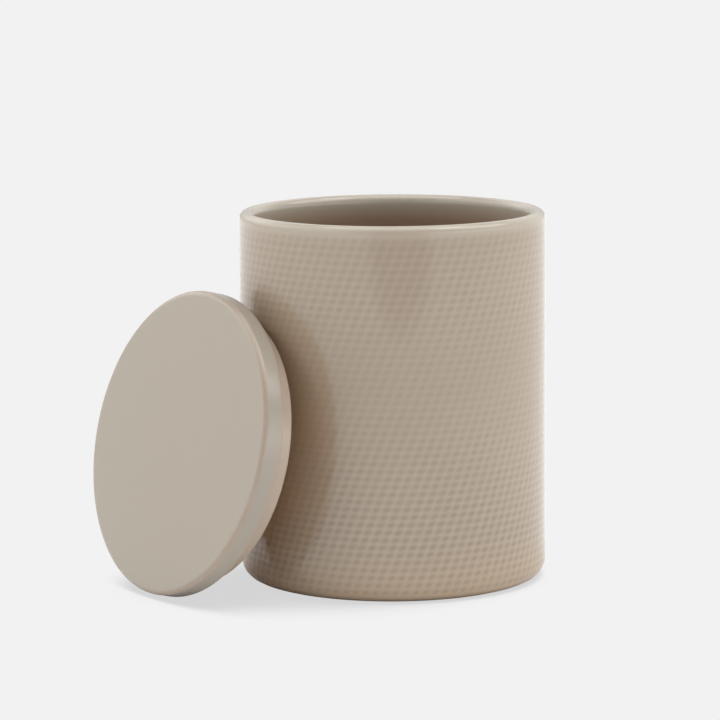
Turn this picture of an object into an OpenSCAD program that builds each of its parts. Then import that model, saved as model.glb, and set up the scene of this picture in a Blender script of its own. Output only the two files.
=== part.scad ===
// Round storage canister of glazed stoneware, with a flat lid.
// The canister is one casting: a straight wall with a rounded rim, a floor with a soft
// inner corner, and a foot ring with a shallow recess inside it. The lid is a second
// casting: a disc with rounded edges and a locating ring that drops into the mouth.
// The lid is off. It stands on its edge and leans on the outside of the wall.
// Millimetres, +Z up. The origin is the centre of the foot, on the ground.

/* [Canister] */
// Outside diameter of the wall
body_d = 84; // [64:1:92]
// Height from the ground to the rim
body_h = 101.2; // [92:0.1:160]
// Thickness of the wall
wall_t = 4.2; // [3.6:0.1:7]
// Thickness of the floor over the foot's recess
floor_t = 4.8; // [3:0.1:10]
// Radius of the corner between the wall and the floor inside
floor_fillet = 6; // [1:0.5:14]

/* [Rim] */
// Radius of the rim's outer edge
rim_outer_round = 2; // [0.4:0.1:2.6]
// Radius of the rim's inner edge
rim_inner_round = 1.5; // [0.4:0.1:2.1]

/* [Foot] */
// Radius of the corner between the wall and the foot
foot_round = 4.8; // [1:0.1:8]
// Width of the flat ring that the canister stands on
foot_ring_w = 3.6; // [2:0.1:8]
// Depth of the recess inside that ring
foot_recess = 1.4; // [0.4:0.1:3]
// Radius of the corner inside the recess
foot_fillet = 1; // [0.2:0.1:1.3]

/* [Lid] */
// Distance from the lid's edge in to the outside of the wall, with the lid on
lid_inset = 0.6; // [0:0.1:2]
// Thickness of the lid's disc
lid_t = 6.4; // [4:0.1:10]
// Radius of the disc's upper edge
lid_upper_round = 1.6; // [0.4:0.1:2.4]
// Radius of the disc's lower edge
lid_lower_round = 1.1; // [0.4:0.1:2]

/* [Locating ring] */
// Play between the ring and the mouth, all round
ring_play = 0.45; // [0.2:0.05:1.5]
// Depth of the ring below the disc
ring_h = 5.8; // [3:0.1:12]
// Thickness of the ring
ring_t = 4.4; // [2.6:0.1:8]
// Radius of the ring's two lower edges
ring_round = 1.2; // [0.3:0.1:1.3]
// Radius of the corner between the ring and the disc inside
ring_fillet = 2.2; // [0.4:0.1:2.8]
// Radius of the corner between the ring and the disc outside
ring_root = 0.6; // [0.2:0.1:1.2]

/* [Lid at rest] */
// Direction that the lid's upper face looks in, anticlockwise from +X, in degrees
lid_facing = -144.7; // [-180:0.1:180]
// Lean of the lid back from upright, in degrees
lid_lean = 14; // [6:0.1:26]
// Sideways shift of the lid along the wall
lid_shift = -13.4; // [-20:0.1:20]
// Gap left between the lid and the wall it leans on
lean_gap = 0.3; // [0:0.05:0.9]

/* [Hidden] */
body_r = body_d / 2;
mouth_r = body_r - wall_t;
floor_z = foot_recess + floor_t;
foot_outer_r = body_r - foot_round;
foot_inner_r = foot_outer_r - foot_ring_w;
lid_r = body_r - lid_inset;
ring_outer_r = mouth_r - ring_play;
ring_inner_r = ring_outer_r - ring_t;
// How far a cutting shape runs past the surface that it cuts
spill = 1;
round_fn = 180;
glaze_tone = [0.70, 0.65, 0.58];

// The lid's round edges: how deep each lies behind the upper face, the radius of the
// circle along the middle of its rounding, and the radius of the rounding
lid_edges = [
    [lid_upper_round, lid_r - lid_upper_round, lid_upper_round],
    [lid_t - lid_lower_round, lid_r - lid_lower_round, lid_lower_round],
    [lid_t + ring_h - ring_round, ring_outer_r - ring_round, ring_round],
];

// Height of the upper face's centre with the lowest edge on the ground
lid_rise = max([for (edge = lid_edges)
    edge[0] * sin(lid_lean) + edge[1] * cos(lid_lean) + edge[2]]);

// How far out a point of an edge needs the face's centre to be, to clear the wall there
function reach(edge, turn) =
    edge[0] * cos(lid_lean) + edge[1] * sin(lid_lean) * sin(turn)
    + sqrt(max(0, pow(body_r + edge[2] + lean_gap, 2)
                  - pow(lid_shift + edge[1] * cos(turn), 2)));

// Distance of the face's centre from the canister's axis, along the lid's facing
lid_reach = max([for (edge = lid_edges, turn = [0:1:359]) reach(edge, turn)]);

// The small piece between a corner and an arc that touches both of its sides. It comes
// off an outer corner, or fills an inner one. into points from the corner, along both
// sides, to the arc's centre.
module corner_piece(corner, into, radius) {
    centre = corner + radius * into;
    far = corner - spill * into;
    difference() {
        translate([min(centre.x, far.x), min(centre.y, far.y)])
            square(radius + spill);
        translate(centre) circle(radius, $fn = round_fn);
    }
}

// Half of the hollow's section, from the axis outwards
module hollow_section() {
    difference() {
        translate([0, floor_z]) square([mouth_r, body_h - floor_z + spill]);
        corner_piece([mouth_r, floor_z], [-1, 1], floor_fillet);
    }
}

// Half of the section of the recess under the floor
module recess_section() {
    difference() {
        translate([0, -spill]) square([foot_inner_r, foot_recess + spill]);
        corner_piece([foot_inner_r, foot_recess], [-1, -1], foot_fillet);
    }
}

module canister_section() {
    difference() {
        square([body_r, body_h]);
        hollow_section();
        recess_section();
        corner_piece([body_r, 0], [-1, 1], foot_round);
        corner_piece([body_r, body_h], [-1, -1], rim_outer_round);
        corner_piece([mouth_r, body_h], [1, -1], rim_inner_round);
    }
}

// Half of the lid's section with the lid on: the disc's underside is at height zero
module lid_section() {
    difference() {
        union() {
            square([lid_r, lid_t]);
            translate([ring_inner_r, -ring_h]) square([ring_t, ring_h + lid_t / 2]);
            corner_piece([ring_inner_r, 0], [-1, -1], ring_fillet);
            corner_piece([ring_outer_r, 0], [1, -1], ring_root);
        }
        corner_piece([lid_r, lid_t], [-1, -1], lid_upper_round);
        corner_piece([lid_r, 0], [-1, 1], lid_lower_round);
        corner_piece([ring_outer_r, -ring_h], [-1, 1], ring_round);
        corner_piece([ring_inner_r, -ring_h], [1, 1], ring_round);
    }
}

module canister() {
    color(glaze_tone)
        rotate_extrude($fn = round_fn) canister_section();
}

module lid() {
    color(glaze_tone)
        rotate([0, 0, lid_facing])
        translate([lid_reach, lid_shift, lid_rise])
        rotate([0, 90 - lid_lean, 0])
        translate([0, 0, -lid_t])
        rotate_extrude($fn = round_fn) lid_section();
}

canister();
lid();
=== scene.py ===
import math

import bpy
import numpy as np
from mathutils import Matrix, Vector


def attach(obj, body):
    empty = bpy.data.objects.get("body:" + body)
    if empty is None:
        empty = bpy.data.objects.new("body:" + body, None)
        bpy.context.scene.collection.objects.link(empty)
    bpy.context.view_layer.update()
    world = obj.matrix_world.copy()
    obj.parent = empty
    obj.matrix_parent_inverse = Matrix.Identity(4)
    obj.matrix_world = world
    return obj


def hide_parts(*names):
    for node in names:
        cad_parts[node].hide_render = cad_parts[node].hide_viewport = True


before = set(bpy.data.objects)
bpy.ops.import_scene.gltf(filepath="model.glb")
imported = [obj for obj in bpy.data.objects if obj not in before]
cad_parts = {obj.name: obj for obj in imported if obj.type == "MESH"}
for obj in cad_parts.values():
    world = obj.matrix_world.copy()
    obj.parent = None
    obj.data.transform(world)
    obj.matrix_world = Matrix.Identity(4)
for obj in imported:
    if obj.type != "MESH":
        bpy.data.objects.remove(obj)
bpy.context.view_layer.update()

mm = 0.001
scene = bpy.context.scene
scene.view_settings.view_transform = "Standard"
print("stage: frame loaded")


# sRGB hex to the linear values that shaders work in
def linearColour(hexCode):
    parts = [int(hexCode[i:i + 2], 16) / 255 for i in (0, 2, 4)]
    return [c / 12.92 if c <= 0.04045 else ((c + 0.055) / 1.055) ** 2.4 for c in parts] + [1.0]


# Adds a node with its settings; an input is a value, or another node's output to link
def addNode(tree, kind, inputs=None, **settings):
    node = tree.nodes.new(kind)
    for name, value in settings.items():
        setattr(node, name, value)
    for name, value in (inputs or {}).items():
        if isinstance(value, bpy.types.NodeSocket):
            tree.links.new(value, node.inputs[name])
        else:
            node.inputs[name].default_value = value
    return node


# A material with an empty tree
def emptyMaterial(name):
    material = bpy.data.materials.new(name)
    material.use_nodes = True
    material.node_tree.nodes.clear()
    return material


# Points along an arc of a section, from one angle to another, in degrees
def arc(centre, radius, start, end, steps):
    turns = [math.radians(start + (end - start) * i / steps) for i in range(steps + 1)]
    return [(centre[0] + radius * math.cos(t), centre[1] + radius * math.sin(t)) for t in turns]


# Draws half a section in millimetres, point by point, and turns it round the Z axis
def latheSection(name, section, steps):
    bpy.ops.object.select_all(action="DESELECT")
    startR, startZ = section[0]
    bpy.ops.mesh.primitive_plane_add(size=mm, location=(startR * mm, 0, startZ * mm))
    piece = bpy.context.object
    piece.name = name
    piece.data.name = name
    bpy.ops.object.transform_apply(location=True)
    bpy.ops.object.mode_set(mode="EDIT")
    bpy.ops.mesh.select_all(action="SELECT")
    bpy.ops.mesh.merge(type="CENTER")
    for (r0, z0), (r1, z1) in zip(section, section[1:]):
        step = ((r1 - r0) * mm, 0, (z1 - z0) * mm)
        bpy.ops.mesh.extrude_vertices_move(TRANSFORM_OT_translate={"value": step})
    bpy.ops.mesh.select_all(action="SELECT")
    bpy.ops.mesh.spin(steps=steps, angle=2 * math.pi, center=(0, 0, 0), axis=(0, 0, 1))
    bpy.ops.mesh.select_all(action="SELECT")
    bpy.ops.mesh.remove_doubles(threshold=0.001 * mm)
    bpy.ops.mesh.normals_make_consistent(inside=False)
    bpy.ops.mesh.select_all(action="DESELECT")
    bpy.ops.object.mode_set(mode="OBJECT")
    bpy.ops.object.shade_smooth()
    return piece


# Camera
cameraView = {
    "place": (0, -998.4 * mm, 211.4 * mm),
    "turn": (81.358, 0.345, 0.465),
    "lens": 183.5,
}
bpy.ops.object.camera_add(
    location=cameraView["place"], rotation=[math.radians(a) for a in cameraView["turn"]])
camera = bpy.context.object
camera.data.lens = cameraView["lens"]
camera.data.sensor_width = 36
scene.camera = camera
print("stage: camera set")


# Gives each point of a turned piece the value of the section point that it came from
def sectionValues(piece, section, values, name):
    place = np.empty(len(piece.data.vertices) * 3)
    piece.data.vertices.foreach_get("co", place)
    place = place.reshape(-1, 3) / mm
    across = np.hypot(place[:, 0], place[:, 1])
    origin = np.array(section)
    far = across[:, None] - origin[None, :, 0]
    high = place[:, 2][:, None] - origin[None, :, 1]
    layer = piece.data.attributes.new(name, "FLOAT", "POINT")
    layer.data.foreach_set("value", np.array(values)[(far ** 2 + high ** 2).argmin(1)])


# Glazed stoneware: a glassy glaze over a warm clay. It pools greyer in the hollows and runs
# off the edges, where the clay shows through in a browner, uneven line. Painted light and
# shade go into the same tones: a painted highlight and reflection, paler on the rim and greyer
# on the lid's side, warmer patches of painted shade and light on the wall, a pinker ring on
# the lid, and painted brown shade inside the canister in the edge line's tone. Where it is
# bare, the clay is matt and grainy. The eye reads the sharp soft-edged reflections as glass
# and the pooled tones as a thick, hand-dipped coat.
def glazedStoneware(name, look):
    material = emptyMaterial(name)
    tree = material.node_tree
    coords = addNode(tree, "ShaderNodeTexCoord")
    cloud = addNode(tree, "ShaderNodeTexNoise", {
        "Vector": coords.outputs["Object"], "Scale": 1 / (look["cloudSize"] * mm),
        "Detail": 3.0, "Roughness": 0.55})
    speck = addNode(tree, "ShaderNodeTexNoise", {
        "Vector": coords.outputs["Object"], "Scale": 1 / (look["speckSize"] * mm),
        "Detail": 2.0, "Roughness": 0.6})
    # The pooled share also carries painted light and shade: paler at the foot, greyer in patches
    poolAndLightShare = addNode(tree, "ShaderNodeAttribute", attribute_name="poolAndPaintedLight")
    wander = addNode(tree, "ShaderNodeMath", {
        0: cloud.outputs["Fac"], 1: 0.5}, operation="SUBTRACT")
    spread = addNode(tree, "ShaderNodeMath", {
        0: wander.outputs[0], 1: look["cloudShare"], 2: poolAndLightShare.outputs["Fac"]},
        operation="MULTIPLY_ADD", use_clamp=True)
    body = addNode(tree, "ShaderNodeMix", {
        0: spread.outputs[0], 6: linearColour(look["thin"]), 7: linearColour(look["thick"])},
        data_type="RGBA")
    # This mask is a painted highlight on the canister's rim and top inside, and a painted
    # reflection on the lid's side
    rim = addNode(tree, "ShaderNodeAttribute", attribute_name="rim")
    paler = addNode(tree, "ShaderNodeMix", {
        0: rim.outputs["Fac"], 6: body.outputs[2], 7: linearColour(look["pale"])},
        data_type="RGBA")
    # This mask is painted shade and light on the wall; on the lid it gives the ring its pinker tint
    tintAndPaintedLight = addNode(tree, "ShaderNodeAttribute", attribute_name="tintAndPaintedLight")
    warmer = addNode(tree, "ShaderNodeMix", {
        0: tintAndPaintedLight.outputs["Fac"], 6: paler.outputs[2], 7: linearColour(look["warm"])},
        data_type="RGBA")
    # This mask is the glaze break on the lid's edges, and painted shade inside the canister
    edge = addNode(tree, "ShaderNodeAttribute", attribute_name="edge")
    uneven = addNode(tree, "ShaderNodeTexNoise", {
        "Vector": coords.outputs["Object"], "Scale": 1 / (look["breakSize"] * mm),
        "Detail": 2.0, "Roughness": 0.5})
    ragged = addNode(tree, "ShaderNodeMapRange", {
        "Value": uneven.outputs["Fac"], "From Min": 0.3, "From Max": 0.7,
        "To Min": 1 - look["breakShare"], "To Max": 1.0})
    brokenAndShaded = addNode(tree, "ShaderNodeMath", {
        0: edge.outputs["Fac"], 1: ragged.outputs["Result"]}, operation="MULTIPLY")
    glazeTone = addNode(tree, "ShaderNodeMix", {
        0: brokenAndShaded.outputs[0], 6: warmer.outputs[2], 7: linearColour(look["brokenAndShaded"])},
        data_type="RGBA")
    bare = addNode(tree, "ShaderNodeAttribute", attribute_name="bare")
    grain = addNode(tree, "ShaderNodeMix", {
        0: speck.outputs["Fac"], 6: linearColour(look["clay"]), 7: linearColour(look["clayGrain"])},
        data_type="RGBA")
    tone = addNode(tree, "ShaderNodeMix", {
        0: bare.outputs["Fac"], 6: glazeTone.outputs[2], 7: grain.outputs[2]}, data_type="RGBA")
    sheen = addNode(tree, "ShaderNodeMapRange", {
        "Value": speck.outputs["Fac"], "From Min": 0.3, "From Max": 0.7,
        "To Min": look["roughness"] - 0.03, "To Max": look["roughness"] + 0.03})
    gloss = addNode(tree, "ShaderNodeMix", {
        0: bare.outputs["Fac"], 2: sheen.outputs["Result"], 3: look["clayRoughness"]})
    ripple = addNode(tree, "ShaderNodeBump", {
        "Height": speck.outputs["Fac"], "Strength": look["rippleStrength"],
        "Distance": look["rippleHeight"] * mm})
    shader = addNode(tree, "ShaderNodeBsdfPrincipled", {
        "Base Color": tone.outputs[2], "Roughness": gloss.outputs[0],
        "Normal": ripple.outputs["Normal"], "IOR": 1.5})
    addNode(tree, "ShaderNodeOutputMaterial", {"Surface": shader.outputs["BSDF"]})
    return material


# Canister. Sizes in millimetres
canister = {
    "radius": 42, "height": 101.2, "wall": 4.2, "floor": 4.8, "floorFillet": 6,
    "rimOuter": 2, "rimInner": 2.1,
    "footRound": 4.8, "footRing": 3.6, "footRecess": 1.4, "footFillet": 1,
    "dimplesAround": 97, "dimpleRows": 47, "rowHeight": 2.052, "fieldTop": 98.5,
    "dimpleDepth": 0.06, "columnLean": 20.7, "meshPerDimple": 4,
    # A dimple's shape: how steep its sides are, and how much of it is a round bowl and not
    # the sum of a groove across and one down. Its mean level makes an even coat
    "bowlPower": 1.5, "bowlRound": 0.55, "bowlMean": 0.414,
    # How full of glaze the dimples are: heights, and the share there
    "fillHeights": [0, 30, 45, 55, 65, 80, 95, 101],
    "fillShares": [1.3, 0.9, 0.55, 0.4, 0.42, 0.66, 0.6, 0.5],
    "fillSpread": (0.7, 1.1), "fillSeed": 5,
}
wallGlaze = {
    # On the wall, the broken tone is painted shade inside the canister
    "thin": "B0A18D", "thick": "948678", "brokenAndShaded": "8C6F56", "cloudSize": 30, "cloudShare": 0.3,
    "speckSize": 1.2, "roughness": 0.12, "rippleStrength": 0.12, "rippleHeight": 0.1,
    "breakSize": 5, "breakShare": 0.1,
    "clay": "B07E57", "clayGrain": "A8795A", "clayRoughness": 0.8,
    "pale": "B3AA9C", "warm": "A98D6E",
    # Patches of painted shade, beside the lid and under the front rim: compass from the front
    # to the right, height, half widths, how much browner, how much greyer
    "patches": [
        (-56, 45, 40, 40, 0.6, 0.0),
        (3, 94, 13, 25, 0.12, 0.35),
    ],
    # How far the patches fade, and painted light on the foot, lighter and browner: how much
    # browner, how much paler, and how high it reaches
    "patchFade": 0.4, "footPaintedLight": 0.4, "footPaintedLighten": 0.35, "footReach": 16,
    # Depths below the rim: where the painted brown shade starts inside and how far it takes to
    # fill in, and where the painted highlight of the pale rim ends, inside and outside, with the
    # distance that it fades over
    "brownFrom": 2, "brownOver": 9, "paleInside": 7, "paleOutside": 4.5, "paleOver": 4.5,
}


# A point of the outside, so far below the top of the dimpled field, along the surface
def outsidePoint(below):
    c = canister
    straight = c["fieldTop"] - c["footRound"]
    if below <= straight:
        return (c["radius"], c["fieldTop"] - below)
    turn = (below - straight) / c["footRound"]
    centre = c["radius"] - c["footRound"]
    return (centre + c["footRound"] * math.cos(turn), c["footRound"] * (1 - math.sin(turn)))


def canisterPiece():
    c = canister
    mouth = c["radius"] - c["wall"]
    floorZ = c["footRecess"] + c["floor"]
    footOuter = c["radius"] - c["footRound"]
    footInner = footOuter - c["footRing"]
    perDimple = c["meshPerDimple"]
    stepDown = c["rowHeight"] / perDimple
    field = [outsidePoint(i * stepDown) for i in range(c["dimpleRows"] * perDimple + 1)]
    lastTurn = math.degrees(math.asin(1 - field[-1][1] / c["footRound"]))
    section = [(0, floorZ)]
    corner = (mouth - c["floorFillet"], floorZ + c["floorFillet"])
    section += arc(corner, c["floorFillet"], -90, 0, 7)
    # The inner wall has more points near the rim, where the painted shade and highlight change
    section += [(mouth, c["height"] - below) for below in (30, 16, 10, 7, 5.5, 4.5, 3.7, 2.9)]
    corner = (mouth + c["rimInner"], c["height"] - c["rimInner"])
    section += arc(corner, c["rimInner"], 180, 90, 5)
    corner = (c["radius"] - c["rimOuter"], c["height"] - c["rimOuter"])
    section += arc(corner, c["rimOuter"], 90, 0, 6)
    section += field
    section += arc((footOuter, c["footRound"]), c["footRound"], -lastTurn, -90, 5)[1:]
    section += [(footInner, 0), (footInner, c["footRecess"] - c["footFillet"])]
    corner = (footInner - c["footFillet"], c["footRecess"] - c["footFillet"])
    section += arc(corner, c["footFillet"], 0, 90, 3)[1:]
    section += [(0, c["footRecess"])]
    piece = latheSection("canisterWall", section, c["dimplesAround"] * perDimple)
    print("stage: canister turned,", len(piece.data.polygons), "faces")

    # Each point's column and row in the field, read from its place
    count = len(piece.data.vertices)
    place = np.empty(count * 3)
    piece.data.vertices.foreach_get("co", place)
    place = place.reshape(-1, 3) / mm
    across = np.hypot(place[:, 0], place[:, 1])
    around = np.degrees(np.arctan2(place[:, 1], place[:, 0])) % 360
    column = np.rint(around / 360 * c["dimplesAround"] * perDimple).astype(int) % perDimple
    rowHeights = np.array([z for r, z in field])
    row = np.abs(place[:, 2][:, None] - rowHeights[None, :]).argmin(1)
    inField = (across > c["radius"] - 1) & (np.abs(place[:, 2] - rowHeights[row]) < 0.01)
    row = row % perDimple

    # The bottom of a dimple goes in furthest, its sides less, and the ridges' crossings stay
    acrossBowl = np.sin(np.pi * column / perDimple) ** c["bowlPower"]
    downBowl = np.sin(np.pi * row / perDimple) ** c["bowlPower"]
    grooves = (acrossBowl + downBowl) / 2
    bowl = c["bowlRound"] * acrossBowl * downBowl + (1 - c["bowlRound"]) * grooves
    share = np.where(inField, np.round(bowl, 4), 0.0)
    for level in sorted(set(share) - {0.0}):
        bpy.ops.object.mode_set(mode="EDIT")
        bpy.ops.mesh.select_all(action="DESELECT")
        bpy.ops.object.mode_set(mode="OBJECT")
        piece.data.vertices.foreach_set("select", share == level)
        bpy.ops.object.mode_set(mode="EDIT")
        inward = 1 - c["dimpleDepth"] * level / c["radius"]
        bpy.ops.transform.resize(value=(inward, inward, 1), center_override=(0, 0, 0))
        bpy.ops.object.mode_set(mode="OBJECT")

    # The grey glaze fills the dimples more low down, and no two quite alike. One half
    # stands for an even coat
    dimple = np.rint(around / 360 * c["dimplesAround"]).astype(int) % c["dimplesAround"]
    band = np.abs(place[:, 2][:, None] - rowHeights[None, :]).argmin(1) // perDimple
    draws = np.random.default_rng(c["fillSeed"])
    filled = draws.uniform(*c["fillSpread"], (c["dimplesAround"], c["dimpleRows"] + 1))
    filled = filled[dimple, band] * np.interp(place[:, 2], c["fillHeights"], c["fillShares"])
    poolAndPaintedLight = 0.5 + np.where(inField, (share - c["bowlMean"]) * filled, 0.0)

    # Painted shade browns the inside, darker with depth below the rim, and a painted highlight
    # makes the rim and the top of the inside pale. The flat foot ring is left bare
    thinAndShaded, paleness, bareness = [], [], []
    for r, z in section:
        inside = r < mouth + c["rimInner"] / 2 and z > c["footRecess"]
        below = c["height"] - z
        brown = (below - wallGlaze["brownFrom"]) / wallGlaze["brownOver"]
        thinAndShaded.append(min(1, max(0, brown)) if inside else 0.0)
        paleEnd = wallGlaze["paleInside"] if inside else wallGlaze["paleOutside"]
        paleness.append(min(1, max(0, paleEnd - below) / wallGlaze["paleOver"]))
        bareness.append(1.0 if z < 0.01 else 0.0)
    sectionValues(piece, section, thinAndShaded, "edge")
    sectionValues(piece, section, paleness, "rim")
    sectionValues(piece, section, bareness, "bare")

    # The dimples' columns lean, so the whole wall is twisted about its axis
    twist = piece.modifiers.new("columnLean", "SIMPLE_DEFORM")
    twist.deform_method = "TWIST"
    twist.deform_axis = "Z"
    twist.angle = c["height"] * math.tan(math.radians(c["columnLean"])) / c["radius"]
    bpy.ops.object.modifier_apply(modifier=twist.name)

    # Painted shade in soft patches, browner and greyer, and painted light on the foot, lighter and
    # browner
    twisted = np.empty(count * 3)
    piece.data.vertices.foreach_get("co", twisted)
    x, y, z = twisted.reshape(-1, 3).T / mm
    compass = np.degrees(np.arctan2(x, -y))
    outside = across > c["radius"] - c["footRound"] - 0.01
    nearFoot = np.clip(1 - z / wallGlaze["footReach"], 0, 1) * outside
    tintAndPaintedLight = wallGlaze["footPaintedLight"] * nearFoot
    poolAndPaintedLight -= wallGlaze["footPaintedLighten"] * nearFoot
    for side, height, halfWidth, halfHeight, warmth, greyness in wallGlaze["patches"]:
        away = np.hypot((compass - side) / halfWidth, (z - height) / halfHeight)
        within = np.clip((1 - away) / wallGlaze["patchFade"], 0, 1) * outside
        tintAndPaintedLight = np.maximum(tintAndPaintedLight, warmth * within)
        poolAndPaintedLight += greyness * within
    for name, values in (("poolAndPaintedLight", poolAndPaintedLight), ("tintAndPaintedLight", tintAndPaintedLight)):
        layer = piece.data.attributes.new(name, "FLOAT", "POINT")
        layer.data.foreach_set("value", values)
    piece.data.materials.append(glazedStoneware("glazedStonewareWall", wallGlaze))
    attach(piece, "root")
    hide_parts("canister")
    return piece


canisterWall = canisterPiece()
print("stage: canister finished")

# Lid. Sizes in millimetres, angles in degrees
lid = {
    "radius": 41.4, "disc": 6.4, "upperRound": 1.6, "lowerRound": 1.1,
    "ringRadius": 37.35, "ringDepth": 5.8, "ringWall": 4.4, "ringRound": 1.2,
    "ringFillet": 2.2, "ringRoot": 0.6, "facing": -144.7, "lean": 14, "sideStep": 0.3,
}
lidGlaze = {
    "thin": "A69C8F", "thick": "A39A8E", "brokenAndShaded": "9E8770", "cloudSize": 40, "cloudShare": 0.6,
    "speckSize": 1.6, "roughness": 0.24, "rippleStrength": 0.1, "rippleHeight": 0.02,
    "breakSize": 6, "breakShare": 0.5,
    "clay": "B07E57", "clayGrain": "A8795A", "clayRoughness": 0.8,
    # Here the pale tone is the grey band on the side, a painted reflection, and the warm one is the
    # pinker ring
    "pale": "9F968A", "warm": "AD9D8D",
    # Brown lines on the two edges: strength, rise from the edge's start, half width
    "upperLine": (0.55, 1.0, 1.2), "lowerLine": (0.3, 0.0, 0.7),
}


def lidPiece():
    c = lid
    inner = c["ringRadius"] - c["ringWall"]
    sideTop, sideFoot = c["disc"] - c["upperRound"], c["lowerRound"]
    section = [(0, c["disc"])]
    section += arc((c["radius"] - c["upperRound"], sideTop), c["upperRound"], 90, 0, 9)
    section += [(c["radius"], sideTop - c["sideStep"] * i) for i in range(1, 6)]
    section += [(c["radius"], sideFoot + c["sideStep"] * i) for i in range(3, 0, -1)]
    section += arc((c["radius"] - c["lowerRound"], sideFoot), c["lowerRound"], 0, -90, 8)
    ringStart = len(section)
    section += arc((c["ringRadius"] + c["ringRoot"], -c["ringRoot"]), c["ringRoot"], 90, 180, 4)
    lowest = c["ringRound"] - c["ringDepth"]
    section += arc((c["ringRadius"] - c["ringRound"], lowest), c["ringRound"], 0, -90, 7)
    section += arc((inner + c["ringRound"], lowest), c["ringRound"], -90, -180, 7)
    section += arc((inner - c["ringFillet"], -c["ringFillet"]), c["ringFillet"], 0, 90, 7)
    section += [(0, 0)]
    piece = latheSection("lidCasting", section, 256)

    # The glaze runs thin on both edges of the side and leaves the underside bare. The side is
    # painted greyer between the edges, a painted reflection, and the ring is pinker
    thinAndShaded, warmth, greyness, bareness = [], [], [], []
    lines = (lidGlaze["upperLine"], lidGlaze["lowerLine"])
    for i, (r, z) in enumerate(section):
        upper, lower = [
            strength * max(0, 1 - abs(z - start - rise) / halfWidth)
            for start, (strength, rise, halfWidth) in zip((sideTop, sideFoot), lines)]
        onSide = i < ringStart and r > c["radius"] - 1
        under = i >= ringStart and r < c["ringRadius"] - 0.5
        thinAndShaded.append(max(upper, lower) if onSide else 0.0)
        warmth.append(1.0 if z < sideFoot - 0.2 else 0.0)
        greyness.append(1.0 if onSide and z < sideTop + 0.5 else 0.0)
        bareness.append(1.0 if under else 0.0)
    sectionValues(piece, section, thinAndShaded, "edge")
    sectionValues(piece, section, warmth, "tintAndPaintedLight")
    sectionValues(piece, section, greyness, "rim")
    sectionValues(piece, section, bareness, "bare")

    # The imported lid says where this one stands
    lean, facing = math.radians(c["lean"]), math.radians(c["facing"])
    level = math.cos(lean)
    ahead = Vector((level * math.cos(facing), level * math.sin(facing), math.sin(lean)))
    side = Vector((-math.sin(facing), math.cos(facing), 0))
    upwards = ahead.cross(side)
    points = [v.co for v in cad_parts["lid"].data.vertices]
    centre = ahead * max(p.dot(ahead) for p in points)
    for axis in (side, upwards):
        reach = [p.dot(axis) for p in points]
        centre += axis * (min(reach) + max(reach)) / 2
    turned = Matrix((side, upwards, ahead)).transposed().to_4x4()
    piece.matrix_world = Matrix.Translation(centre - ahead * c["disc"] * mm) @ turned
    bpy.ops.object.transform_apply(location=True, rotation=True, scale=True)
    piece.data.materials.append(glazedStoneware("glazedStonewareLid", lidGlaze))
    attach(piece, "root")
    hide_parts("lid")
    return piece


lidCasting = lidPiece()
print("stage: lid finished")

# Studio: a pale sweep under one overhead light and two side lights, between two long low
# windows, with soft glows half way up. The light values say how bright each looks, where
# the paper is about 1
studio = {
    "backdrop": "F2F2F2", "sweep": 8.0,
    "overhead": 2.2, "leftLight": 1.0, "rightLight": 2.8,
    "leftWindow": 0.9, "rightWindow": 2.0, "horizon": 0.45, "behind": 0.15,
    "leftGlow": 1.2, "backGlow": 1.0, "frontGlow": 0.2,
    "contact": 80 * mm, "contactFrom": 0.27, "contactTo": 0.63, "contactShade": 0.74,
    "contactLean": (0.1, 0.15, 1.0),
}


# A broad soft light at infinity, seen from the object at this compass angle and height.
# The angle is counted from straight ahead of the camera's side, towards its right
def softLight(name, compass, height, spread, radiance):
    bpy.ops.object.light_add(type="SUN")
    light = bpy.context.object
    light.name = name
    turn, rise = math.radians(compass), math.radians(height)
    level = math.cos(rise)
    towards = Vector((math.sin(turn) * level, -math.cos(turn) * level, math.sin(rise)))
    light.rotation_euler = (-towards).to_track_quat("-Z", "Y").to_euler()
    light.data.angle = math.radians(spread)
    light.data.energy = radiance * math.pi * math.sin(math.radians(spread / 2)) ** 2
    light.data.color = (1, 1, 1)
    return light


softLight("overheadLight", 0, 90, 60, studio["overhead"])
softLight("leftLight", -90, 50, 45, studio["leftLight"])
softLight("rightLight", 90, 50, 45, studio["rightLight"])


# A value eased from one level to another while the input goes from start to end
def eased(tree, value, start, end, low=0.0, high=1.0):
    ramp = addNode(tree, "ShaderNodeMapRange", {
        "Value": value, "From Min": start, "From Max": end, "To Min": low, "To Max": high},
        interpolation_type="SMOOTHSTEP")
    return ramp.outputs["Result"]


# Surrounding: bright windows low on both sides, dimmer towards the back, glows at middle
# height, and a pale backdrop for the camera. Its ranges are parts of a unit direction
world = bpy.data.worlds.new("paleSurrounding")
scene.world = world
world.use_nodes = True
tree = world.node_tree
tree.nodes.clear()
rays = addNode(tree, "ShaderNodeLightPath")
coords = addNode(tree, "ShaderNodeTexCoord")
towards = addNode(tree, "ShaderNodeSeparateXYZ", {0: coords.outputs["Generated"]})
low = eased(tree, towards.outputs["Z"], 0.42, 0.12)
ahead = eased(tree, towards.outputs["Y"], 0.7, -0.3, low=0.35)
right = eased(tree, towards.outputs["X"], 0.15, 0.75, high=studio["rightWindow"])
left = eased(tree, towards.outputs["X"], -0.15, -0.75, high=studio["leftWindow"])
windows = addNode(tree, "ShaderNodeMath", {0: left, 1: right}, operation="ADD")
behind = eased(tree, towards.outputs["Y"], 0.3, 0.8,
               low=studio["horizon"], high=studio["horizon"] + studio["behind"])
band = addNode(tree, "ShaderNodeMath", {
    0: windows.outputs[0], 1: ahead, 2: behind}, operation="MULTIPLY_ADD")
bandLow = addNode(tree, "ShaderNodeMath", {0: band.outputs[0], 1: low}, operation="MULTIPLY")
rising = eased(tree, towards.outputs["Z"], 0.12, 0.42)
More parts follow.
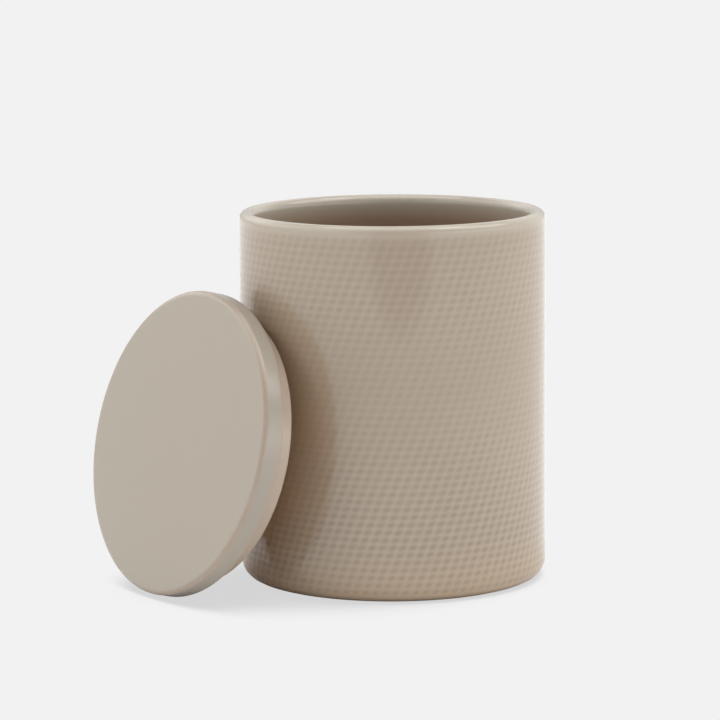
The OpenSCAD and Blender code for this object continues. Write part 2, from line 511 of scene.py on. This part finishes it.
falling = eased(tree, towards.outputs["Z"], 0.85, 0.5)
middle = addNode(tree, "ShaderNodeMath", {0: rising, 1: falling}, operation="MULTIPLY")
leftGlow = eased(tree, towards.outputs["X"], -0.2, -0.7, high=studio["leftGlow"])
backGlow = eased(tree, towards.outputs["Y"], 0.0, 0.6, high=studio["backGlow"])
frontGlow = eased(tree, towards.outputs["Y"], 0.0, -0.6, high=studio["frontGlow"])
ends = addNode(tree, "ShaderNodeMath", {0: backGlow, 1: frontGlow}, operation="ADD")
glow = addNode(tree, "ShaderNodeMath", {0: leftGlow, 1: ends.outputs[0]}, operation="ADD")
around = addNode(tree, "ShaderNodeMath", {
    0: glow.outputs[0], 1: middle.outputs[0], 2: bandLow.outputs[0]}, operation="MULTIPLY_ADD")
lightFill = addNode(tree, "ShaderNodeBackground", {
    "Color": (1, 1, 1, 1), "Strength": around.outputs[0]})
shownFill = addNode(tree, "ShaderNodeBackground", {
    "Color": linearColour(studio["backdrop"]), "Strength": 1.0})
chosen = addNode(tree, "ShaderNodeMixShader", {
    0: rays.outputs["Is Camera Ray"], 1: lightFill.outputs[0], 2: shownFill.outputs[0]})
addNode(tree, "ShaderNodeOutputWorld", {"Surface": chosen.outputs[0]})

# Seamless paper: matt white. The camera sees it evenly pale, with the shade that the
# object's nearness gives it
paper = emptyMaterial("seamlessPaper")
tree = paper.node_tree
rays = addNode(tree, "ShaderNodeLightPath")
lean = Vector(studio["contactLean"]).normalized()
leaning = addNode(tree, "ShaderNodeCombineXYZ", {0: lean.x, 1: lean.y, 2: lean.z})
contact = addNode(tree, "ShaderNodeAmbientOcclusion", {
    "Distance": studio["contact"], "Normal": leaning.outputs[0]}, samples=16)
shade = eased(tree, contact.outputs["AO"], studio["contactFrom"], studio["contactTo"],
              low=studio["contactShade"])
shown = addNode(tree, "ShaderNodeEmission", {
    "Color": linearColour(studio["backdrop"]), "Strength": shade})
matt = addNode(tree, "ShaderNodeBsdfDiffuse", {"Color": linearColour(studio["backdrop"])})
surface = addNode(tree, "ShaderNodeMixShader", {
    0: rays.outputs["Is Camera Ray"], 1: matt.outputs[0], 2: shown.outputs[0]})
addNode(tree, "ShaderNodeOutputMaterial", {"Surface": surface.outputs[0]})
bpy.ops.object.select_all(action="DESELECT")
bpy.ops.mesh.primitive_circle_add(
    vertices=96, radius=studio["sweep"], fill_type="NGON", location=(0, 0, -0.02 * mm))
sweep = bpy.context.object
sweep.name = "paperSweep"
sweep.data.materials.append(paper)
print("stage: studio set")
